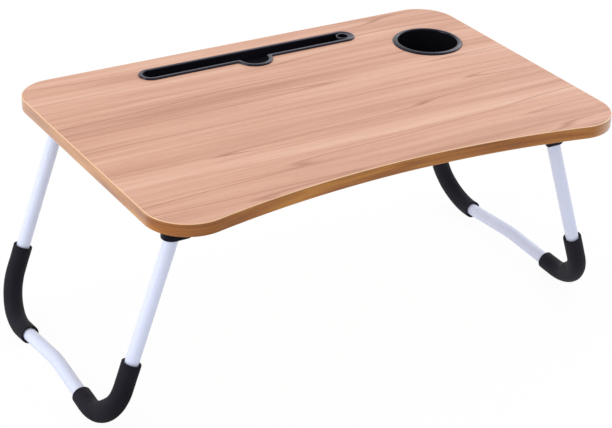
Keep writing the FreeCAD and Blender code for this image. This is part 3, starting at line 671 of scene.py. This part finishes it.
def moulding_tree():
    """A section carried round a level outline: its x is the way outwards, its y height."""
    sizes = [("Section", "Object"), ("Finish", "Material")]
    tree, given, output = geometry_tree("moulding_round_outline", sizes)
    outline = given["Geometry"]
    section = add(tree, "GeometryNodeObjectInfo", {0: given["Section"]}).outputs["Geometry"]
    columns, rows = point_count(tree, outline), point_count(tree, section)
    mesh, column, row = woven_grid(tree, columns, rows)
    position = add(tree, "GeometryNodeInputPosition").outputs[0]
    tangent = add(tree, "GeometryNodeInputTangent").outputs[0]
    length = add(tree, "GeometryNodeSplineParameter").outputs["Length"]
    outwards = vectors(tree, "CROSS_PRODUCT", at_point(tree, outline, tangent, column), Z_AXIS)
    cut = add(tree, "ShaderNodeSeparateXYZ", {0: at_point(tree, section, position, row)}).outputs
    start = at_point(tree, outline, position, column)
    place = vectors(tree, "ADD", start, scaled(tree, outwards, cut["X"]))
    place = vectors(tree, "ADD", place, scaled(tree, Z_AXIS, cut["Y"]))
    along = at_point(tree, outline, length, column, "FLOAT")
    around = at_point(tree, section, length, row, "FLOAT")
    closed_skin(tree, mesh, place, along, around, given["Finish"], output)
    return tree


def between_outlines_tree():
    """A section carried round between an inner and an outer outline with as many points:
    its x is the share of the way from one to the other and its y is height."""
    sizes = [("Outer Outline", "Object"), ("Section", "Object"), ("Finish", "Material")]
    tree, given, output = geometry_tree("section_between_outlines", sizes)
    inner = given["Geometry"]
    outer = add(tree, "GeometryNodeObjectInfo", {0: given["Outer Outline"]}).outputs["Geometry"]
    section = add(tree, "GeometryNodeObjectInfo", {0: given["Section"]}).outputs["Geometry"]
    mesh, column, row = woven_grid(tree, point_count(tree, inner), point_count(tree, section))
    position = add(tree, "GeometryNodeInputPosition").outputs[0]
    length = add(tree, "GeometryNodeSplineParameter").outputs["Length"]
    start = at_point(tree, inner, position, column)
    across = vectors(tree, "SUBTRACT", at_point(tree, outer, position, column), start)
    cut = add(tree, "ShaderNodeSeparateXYZ", {0: at_point(tree, section, position, row)}).outputs
    place = vectors(tree, "ADD", start, scaled(tree, across, cut["X"]))
    place = vectors(tree, "ADD", place, scaled(tree, Z_AXIS, cut["Y"]))
    along = at_point(tree, outer, length, column, "FLOAT")
    around = at_point(tree, section, length, row, "FLOAT")
    closed_skin(tree, mesh, place, along, around, given["Finish"], output)
    return tree


def bell(tree, off_middle, sharpness):
    """1 in the middle, falling to 0 on both sides, the faster the sharper it is."""
    off = maths(tree, "MULTIPLY", off_middle, sharpness)
    return maths(tree, "EXPONENT", maths(tree, "MULTIPLY", maths(tree, "MULTIPLY", off, off), -1.0))


def bent_skin_tree():
    """A section turned round a bent path: section x is the way along it and y the radius.
    On soft pieces the inside of the bend gathers into a bulge that is creased in its middle,
    the whole surface swells unevenly, and nothing sinks below the floor."""
    sizes = [("Section", "Object"), ("Finish", "Material"), ("Steps Around", "Int"),
             ("Path Plane", "Vector"), ("Bend Middle", "Float"), ("Gather Height", "Float"),
             ("Gather Length", "Float"), ("Crease", "Float"), ("Swell", "Float"),
             ("Floor", "Float")]
    tree, given, output = geometry_tree("skin_along_bends", sizes)
    bends = add(tree, "GeometryNodeInputNamedAttribute", {"Name": "radius"}, data_type="FLOAT")
    values = {"Curve": given["Geometry"], "Count": BEND_STEPS, "Radius": bends.outputs[0]}
    path = add(tree, "GeometryNodeFilletCurve", values, mode="POLY").outputs[0]
    section = add(tree, "GeometryNodeObjectInfo", {0: given["Section"]}).outputs["Geometry"]
    columns = point_count(tree, section)
    rows = maths(tree, "ADD", given["Steps Around"], 1)
    mesh, column, row = woven_grid(tree, columns, rows)
    position = add(tree, "GeometryNodeInputPosition").outputs[0]
    cut = add(tree, "ShaderNodeSeparateXYZ", {0: at_point(tree, section, position, column)}).outputs
    values = {"Curves": path, "Length": cut["X"]}
    sampled = add(tree, "GeometryNodeSampleCurve", values, mode="LENGTH")
    tangent = sampled.outputs["Tangent"]
    turn = maths(tree, "MULTIPLY", maths(tree, "DIVIDE", row, given["Steps Around"]), 2 * math.pi)
    side = vectors(tree, "CROSS_PRODUCT", given["Path Plane"], tangent)
    across = scaled(tree, side, maths(tree, "COSINE", turn))
    upright = scaled(tree, given["Path Plane"], maths(tree, "SINE", turn))
    outwards = vectors(tree, "ADD", across, upright)
    inner_side = maths(tree, "MAXIMUM", maths(tree, "COSINE", turn), 0.0)
    off_middle = maths(tree, "SUBTRACT", cut["X"], given["Bend Middle"])
    off_middle = maths(tree, "DIVIDE", off_middle, given["Gather Length"])
    bulge = maths(tree, "MULTIPLY", bell(tree, off_middle, BULGE_SHARPNESS),
                  maths(tree, "POWER", inner_side, BULGE_FOCUS))
    crease = maths(tree, "MULTIPLY", bell(tree, off_middle, CREASE_SHARPNESS),
                   maths(tree, "POWER", inner_side, CREASE_FOCUS))
    gather = maths(tree, "SUBTRACT", bulge, maths(tree, "MULTIPLY", crease, given["Crease"]))
    gather = maths(tree, "MULTIPLY", gather, given["Gather Height"])
    values = {"Vector": sampled.outputs["Position"], "Scale": SWELL_CELLS, "Detail": 2.0}
    soft = add(tree, "ShaderNodeTexNoise", values).outputs[0]
    swell = maths(tree, "MULTIPLY", maths(tree, "SUBTRACT", soft, SWELL_LEVEL), given["Swell"])
    radius = maths(tree, "ADD", maths(tree, "ADD", cut["Y"], gather), swell)
    place = vectors(tree, "ADD", sampled.outputs["Position"], scaled(tree, outwards, radius))
    values = {"X": NO_LIMIT, "Y": NO_LIMIT, "Z": given["Floor"]}
    floor = add(tree, "ShaderNodeCombineXYZ", values).outputs[0]
    place = vectors(tree, "MAXIMUM", place, floor)
    along = cut["X"]
    around = maths(tree, "MULTIPLY", turn, cut["Y"])
    closed_skin(tree, mesh, place, along, around, given["Finish"], output)
    return tree


MOULDING = moulding_tree()
BETWEEN_OUTLINES = between_outlines_tree()
BENT_SKIN = bent_skin_tree()


def made_by(name, source, tree, sizes):
    """Runs the tree on the source object and keeps its result as a plain mesh piece."""
    modifier = source.modifiers.new(tree.name, "NODES")
    modifier.node_group = tree
    for item in tree.interface.items_tree:
        if item.in_out == "INPUT" and item.name in sizes:
            modifier[item.identifier] = sizes[item.name]
    bpy.context.view_layer.update()
    view = source.evaluated_get(bpy.context.evaluated_depsgraph_get())
    mesh = bpy.data.meshes.new_from_object(view)
    source.modifiers.remove(modifier)
    bpy.data.objects.remove(source)
    mesh.name = name
    mesh.shade_smooth()
    mesh.set_sharp_from_angle(angle=SHARP_OVER)
    piece = bpy.data.objects.new(name, mesh)
    bpy.context.scene.collection.objects.link(piece)
    return piece


def settle(piece, body, slot, *nodes):
    """Puts a finished piece on its body, in the place of its CAD nodes."""
    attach(piece, body)
    if nodes:
        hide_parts(*nodes)


# ---------------------------------------------------------------- board
def dress_board():
    """Edge band with rounded rims."""
    section = poly_curve("band_section", band_section())
    outline = poly_curve("band_outline", board_outline())
    sizes = {"Section": section, "Finish": golden_band}
    band = made_by("board_edge_band", outline, MOULDING, sizes)
    bpy.data.objects.remove(section)
    settle(band, "top", "edge_band", "edge_band")


def piece_between(name, inner, outer, section, finish):
    """A piece whose section is carried round between two outlines."""
    around = poly_curve(name + "_outer", outer)
    cut = poly_curve(name + "_section", section)
    sizes = {"Outer Outline": around, "Section": cut, "Finish": finish}
    piece = made_by(name, poly_curve(name + "_inner", inner), BETWEEN_OUTLINES, sizes)
    bpy.data.objects.remove(around)
    bpy.data.objects.remove(cut)
    return piece


def dress_tray_rim():
    """Rolled rim that laps over the slot tray's flange."""
    inner = slot_outline(TRAY_HALF_WIDTH - TRAY_RIM_WIDTH - COVER_OVERHANG)
    outer = slot_outline(TRAY_HALF_WIDTH + COVER_OVERHANG)
    rim = piece_between("slot_tray_rim", inner, outer, tray_rim_section(), tray_plastic)
    settle(rim, "top", "black_moulding")


def dress_cup():
    """Turned cup with a rolled rim."""
    middle = (CUP_MIDDLE.x, CUP_MIDDLE.y)
    outer = arc(middle, CUP_RIM_RADIUS, 0, 2 * math.pi, CUP_STEPS_AROUND)
    axis = [middle] * len(outer)
    cup = piece_between("cup_with_rolled_rim", axis, outer, cup_section(), cup_plastic)
    settle(cup, "top", "black_moulding", "cup_holder")


# ---------------------------------------------------------------- legs
def leg_point(body, y, down):
    """A point of the leaning leg frame, from its way across and down the leg."""
    pivot = PIVOTS[body]
    lean = math.copysign(math.sin(LEG_SPLAY), pivot.x)
    return Vector((pivot.x + lean * down, pivot.y + y, pivot.z - math.cos(LEG_SPLAY) * down))


def leg_plane(body):
    """Unit normal of the plane that the leaning leg frame lies in."""
    down = (leg_point(body, 0, 1) - leg_point(body, 0, 0)).normalized()
    return Y_AXIS.cross(down)


def path_length(points, bends):
    """Length of the line through the points once its corners are rounded."""
    total = 0
    for first, second in zip(points, points[1:]):
        total += (second - first).length
    for i in range(1, len(points) - 1):
        turn = (points[i] - points[i - 1]).angle(points[i + 1] - points[i])
        total -= bends[i] * (2 * math.tan(turn / 2) - turn)
    return total


def even_steps(start, end, step):
    count = max(1, round(abs(end - start) / step))
    return [start + (end - start) * i / count for i in range(count + 1)]


def tube_section(length):
    """Closed section of a plain tube: out along its outside and back inside."""
    outside = [(s, TUBE_RADIUS) for s in even_steps(0, length, TUBE_STEP)]
    inside = [(s, TUBE_RADIUS - TUBE_WALL) for s in even_steps(length, 0, BORE_STEP)]
    return outside + inside + outside[:1]


def sleeve_section(length):
    """Closed section of a foam sleeve: flared mouth, rounded lip, outside, lip, mouth, bore."""
    lip = SLEEVE_LIP
    points = [(SLEEVE_MOUTH_DEPTH, SLEEVE_BORE), (lip, SLEEVE_MOUTH_RADIUS)]
    middle = (SLEEVE_MOUTH_RADIUS + SLEEVE_RADIUS) / 2
    half = (SLEEVE_RADIUS - SLEEVE_MOUTH_RADIUS) / 2
    near_lip = arc((lip, middle), half, -math.pi / 2, -3 * math.pi / 2, steps=8)[1:]
    points += [(lip + (x - lip) * lip / half, y) for x, y in near_lip]
    points += [(s, SLEEVE_RADIUS) for s in even_steps(lip, length - lip, SLEEVE_STEP)[1:]]
    far_lip = arc((length - lip, middle), half, math.pi / 2, -math.pi / 2, steps=8)[1:]
    points += [(length - lip + (x - length + lip) * lip / half, y) for x, y in far_lip]
    points.append((length - SLEEVE_MOUTH_DEPTH, SLEEVE_BORE))
    bore = even_steps(length - SLEEVE_MOUTH_DEPTH, SLEEVE_MOUTH_DEPTH, BORE_STEP)
    points += [(s, SLEEVE_BORE) for s in bore[1:]]
    return points


def bent_piece(name, body, points, bends, section, finish, steps_around, softness=()):
    """A skin along a bent path in the plane of a leg frame, plain unless softness is given."""
    cut = poly_curve(name + "_section", section)
    path = poly_curve(name + "_path", points, bends)
    sizes = {"Section": cut, "Finish": finish, "Steps Around": steps_around,
             "Path Plane": leg_plane(body), "Bend Middle": 0.0, "Gather Height": 0.0,
             "Gather Length": 1.0, "Crease": 0.0, "Swell": 0.0, "Floor": NO_LIMIT}
    sizes.update(softness)
    piece = made_by(name, path, BENT_SKIN, sizes)
    bpy.data.objects.remove(cut)
    return piece


def leg_frame(side):
    """Bent tube of one leg: two side tubes and the arched bar between their feet."""
    body = side + "_leg"
    points = [leg_point(body, -LEG_HALF_WIDTH, TUBE_START),
              leg_point(body, -LEG_HALF_WIDTH, CORNER),
              leg_point(body, 0, CORNER - FOOT_BAR_RISE),
              leg_point(body, LEG_HALF_WIDTH, CORNER),
              leg_point(body, LEG_HALF_WIDTH, TUBE_START)]
    bends = [0, CORNER_BEND_RADIUS, MIDDLE_BEND_RADIUS, CORNER_BEND_RADIUS, 0]
    section = tube_section(path_length(points, bends))
    name = side + "_leg_frame"
    frame_piece = bent_piece(name, body, points, bends, section, white_coat, TUBE_STEPS_AROUND)
    settle(frame_piece, body, "powder_coat", "leg_frame_" + side)


def foam_sleeve(side, row):
    """Foam tube pushed over one bottom corner of a leg frame."""
    body = side + "_leg"
    row_sign = -1 if row == "front" else 1
    slid = SLID_SLEEVE_SHIFT if (side, row) == ("right", "rear") else 0
    corner = leg_point(body, row_sign * LEG_HALF_WIDTH, CORNER)
    top = leg_point(body, row_sign * LEG_HALF_WIDTH, BEND_CENTRE - SLEEVE_ABOVE_BEND - slid)
    bar_middle = leg_point(body, 0, CORNER - FOOT_BAR_RISE)
    bar_way = (bar_middle - corner).normalized()
    turn = math.pi / 2 + BAR_SLOPE
    beyond = SLEEVE_BEYOND_BEND - slid
    tip = corner + bar_way * (CORNER_BEND_RADIUS * math.tan(turn / 2) + beyond)
    points = [top, corner, tip]
    bends = [0, CORNER_BEND_RADIUS, 0]
    section = sleeve_section(path_length(points, bends))
    name = side + "_" + row + "_foam_sleeve"
    middle = SLEEVE_ABOVE_BEND + slid + CORNER_BEND_RADIUS * turn / 2
    height, crease = GATHERS[side + "_" + row]
    softness = {"Path Plane": leg_plane(body) * row_sign, "Bend Middle": middle,
                "Gather Height": height, "Gather Length": GATHER_LENGTH,
                "Crease": crease, "Swell": FOAM_SWELL, "Floor": 0.0}
    sleeve = bent_piece(
        name, body, points, bends, section, black_foam, SLEEVE_STEPS_AROUND, softness)
    settle(sleeve, body, "foam", "foam_sleeve_" + side + "_" + row)


# ---------------------------------------------------------------- carried-over nodes
def paint(names, finish):
    """Gives the nodes' own meshes a finish."""
    for name in names:
        for slot in frame["nodes"][name].material_slots:
            slot.material = finish


def dress_nodes():
    """Finishes for the pieces that keep their own mesh."""
    places = ["left_front", "left_rear", "right_front", "right_rear"]
    paint(["top_sheet"], woodgrain)
    paint(["bottom_sheet"], backing)
    paint(["board_core"], fibreboard)
    paint(["slot_tray"], tray_plastic)
    paint(["hinge_bracket_" + place for place in places], hinge_plastic)
    paint(["leg_plug_" + place for place in places], hinge_plastic)
    paint(["hinge_pin_" + place for place in places], zinc)
    paint(["pin_clips", "plug_screws_left", "plug_screws_right"], zinc)
    paint(["bracket_screws"], black_oxide)


# ---------------------------------------------------------------- stage
CAMERA_AZIMUTH = math.radians(-32.345)
CAMERA_ELEVATION = math.radians(27.909)
CAMERA_ROLL = math.radians(2.232)
CAMERA_PLACE = Vector((-0.98721, -1.54222, 1.10843))
FOCAL_PIXELS = 1728.0
WHITE_WALL_WAY = Vector((0.5, 0.86, 0.05))
PHOTO_WIDTH = 612
SENSOR_WIDTH = 36.0             # millimetres, as lens lengths are
WORLD_STRENGTH = 0.9
WALL_FADE = (-0.1, 0.75)        # share of a reflection's way that points at the white wall
WALL_DIM = 0.25                 # strength of reflections away from the wall
FLOOR_FADE = (-0.35, 0.1)       # metres towards the wall
FLOOR_DIM = 0.06
FLOOR_PAINT = (0.96, 0.96, 0.96, 1)
FLOOR_WHITE_SHARE = 0.95
FLOOR_REACH = 12.0
FLOOR_DROP = -0.0004


def set_camera():
    """Camera at the photo's place and angle."""
    around, above, roll = CAMERA_AZIMUTH, CAMERA_ELEVATION, CAMERA_ROLL
    back = Vector((math.sin(around) * math.cos(above), -math.cos(around) * math.cos(above),
                   math.sin(above)))
    right = (-back).cross(Z_AXIS).normalized()
    up = right.cross(-back)
    rolled_right = right * math.cos(roll) + up * math.sin(roll)
    rolled_up = up * math.cos(roll) - right * math.sin(roll)
    data = bpy.data.cameras.new("photo_camera")
    data.sensor_width = SENSOR_WIDTH
    data.lens = FOCAL_PIXELS / PHOTO_WIDTH * SENSOR_WIDTH
    data.clip_start = 0.05
    data.clip_end = 60
    camera = bpy.data.objects.new("photo_camera", data)
    turned = Matrix((rolled_right, rolled_up, back)).transposed().to_4x4()
    camera.matrix_world = Matrix.Translation(CAMERA_PLACE) @ turned
    bpy.context.scene.collection.objects.link(camera)
    bpy.context.scene.camera = camera


def seen_directly(tree):
    """1 for camera, glossy and transmission rays, 0 for the rays that light things."""
    light_path = add(tree, "ShaderNodeLightPath").outputs
    seen = maths(tree, "MAXIMUM", light_path["Is Camera Ray"], light_path["Is Glossy Ray"])
    return maths(tree, "MAXIMUM", seen, light_path["Is Transmission Ray"])


def set_world():
    """White to the camera; in reflections white behind the table and dim above the camera."""
    world = bpy.data.worlds.new("white_studio")
    world.use_nodes = True
    tree = world.node_tree
    background = tree.nodes["Background"]
    background.inputs["Color"].default_value = (1, 1, 1, 1)
    direction = add(tree, "ShaderNodeTexCoord").outputs["Generated"]
    behind = vectors(tree, "DOT_PRODUCT", direction, WHITE_WALL_WAY)
    wall = spread(tree, behind.node.outputs["Value"], *WALL_FADE, to_low=WALL_DIM)
    camera_ray = add(tree, "ShaderNodeLightPath").outputs["Is Camera Ray"]
    shown = maths(tree, "MAXIMUM", camera_ray, wall)
    seen = seen_directly(tree)
    unseen = maths(tree, "MULTIPLY", maths(tree, "SUBTRACT", 1.0, seen), WORLD_STRENGTH)
    lit = maths(tree, "MULTIPLY_ADD", seen, shown, unseen)
    tree.links.new(lit, background.inputs["Strength"])
    bpy.context.scene.world = world


def soft_light(name, place, target, size, power):
    """Round lamp of some diameter in metres and power in watts, turned to its target."""
    data = bpy.data.lights.new(name, "AREA")
    data.shape = "DISK"
    data.size = size
    data.energy = power
    lamp = bpy.data.objects.new(name, data)
    aim = Vector(target) - Vector(place)
    turned = aim.to_track_quat("-Z", "Y").to_matrix().to_4x4()
    lamp.matrix_world = Matrix.Translation(place) @ turned
    bpy.context.scene.collection.objects.link(lamp)


def set_floor():
    """Plain white floor that keeps a faint shadow; in reflections it is dim in front."""
    material = bpy.data.materials.new("white_floor")
    material.use_nodes = True
    tree = material.node_tree
    tree.nodes.clear()
    paint_coat = add(tree, "ShaderNodeBsdfDiffuse", {"Color": FLOOR_PAINT}).outputs[0]
    camera_ray = add(tree, "ShaderNodeLightPath").outputs["Is Camera Ray"]
    behind = vectors(tree, "DOT_PRODUCT", own_place(tree), WHITE_WALL_WAY)
    lit_part = spread(tree, behind.node.outputs["Value"], *FLOOR_FADE, to_low=FLOOR_DIM)
    shown = maths(tree, "MAXIMUM", camera_ray, lit_part)
    white = add(tree, "ShaderNodeEmission", {"Strength": shown}).outputs[0]
    share = maths(tree, "MULTIPLY", seen_directly(tree), FLOOR_WHITE_SHARE)
    mixed = add(tree, "ShaderNodeMixShader", {0: share, 1: paint_coat, 2: white}).outputs[0]
    add(tree, "ShaderNodeOutputMaterial", {"Surface": mixed})
    ways = [(-1, -1), (1, -1), (1, 1), (-1, 1)]
    corners = [(x * FLOOR_REACH, y * FLOOR_REACH, FLOOR_DROP) for x, y in ways]
    mesh = bpy.data.meshes.new("studio_floor")
    mesh.from_pydata(corners, [], [(0, 1, 2, 3)])
    mesh.materials.append(material)
    floor = bpy.data.objects.new("studio_floor", mesh)
    bpy.context.scene.collection.objects.link(floor)


def set_stage():
    bpy.context.scene.view_settings.view_transform = "Standard"
    set_camera()
    set_world()
    soft_light("key_light", place=(-3.2, 0.6, 2.0), target=(0, 0, 0.1), size=2.4, power=34)
    soft_light("fill_light", place=(2.4, 1.2, 2.0), target=(0.1, 0, 0.1), size=2.0, power=18)
    soft_light("low_light", place=(-2.8, 0.1, 0.6), target=(0, 0, 0.14), size=1.4, power=13)
    set_floor()


dress_board()
dress_tray_rim()
dress_cup()
for side_name in ("left", "right"):
    leg_frame(side_name)
    for row_name in ("front", "rear"):
        foam_sleeve(side_name, row_name)
dress_nodes()
set_stage()
